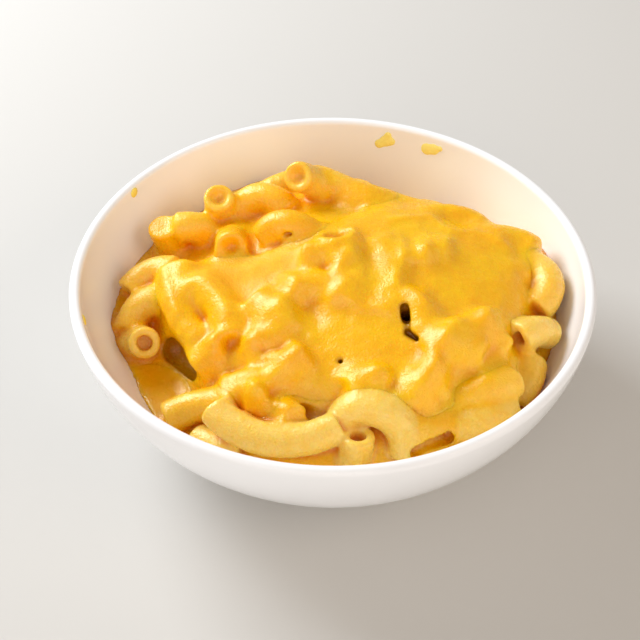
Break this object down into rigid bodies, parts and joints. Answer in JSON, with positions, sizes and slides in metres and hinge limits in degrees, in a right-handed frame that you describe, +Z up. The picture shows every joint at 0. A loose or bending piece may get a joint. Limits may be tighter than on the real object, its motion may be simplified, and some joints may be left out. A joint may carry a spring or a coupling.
{
  "type": "mac and cheese in a bowl",
  "caption": "Serving of elbow macaroni heaped in a round white porcelain bowl with a foot ring, coated and partly covered in thick yellow cheese sauce.",
  "frame": {"origin": "centre of the foot ring's underside, on the surface that the bowl stands on", "axes": "+Z up out of the bowl, -Y towards the front of the serving, +X to its right"},
  "size_m": [0.14, 0.14, 0.0545],
  "materials": {
    "porcelain": "glazed white porcelain, glossy",
    "pasta": "cooked pasta under a thin coat of cheese sauce, moist",
    "cheese": "thick cheese sauce, satin with grainy soft highlights",
    "thin_sauce": "loose cheese sauce, wet"
  },
  "bodies": {
    "root": {"bowl": "porcelain", "macaroni": "pasta", "cheese_sauce": "cheese", "sauce_pool": "thin_sauce"}
  },
  "joints": []
}
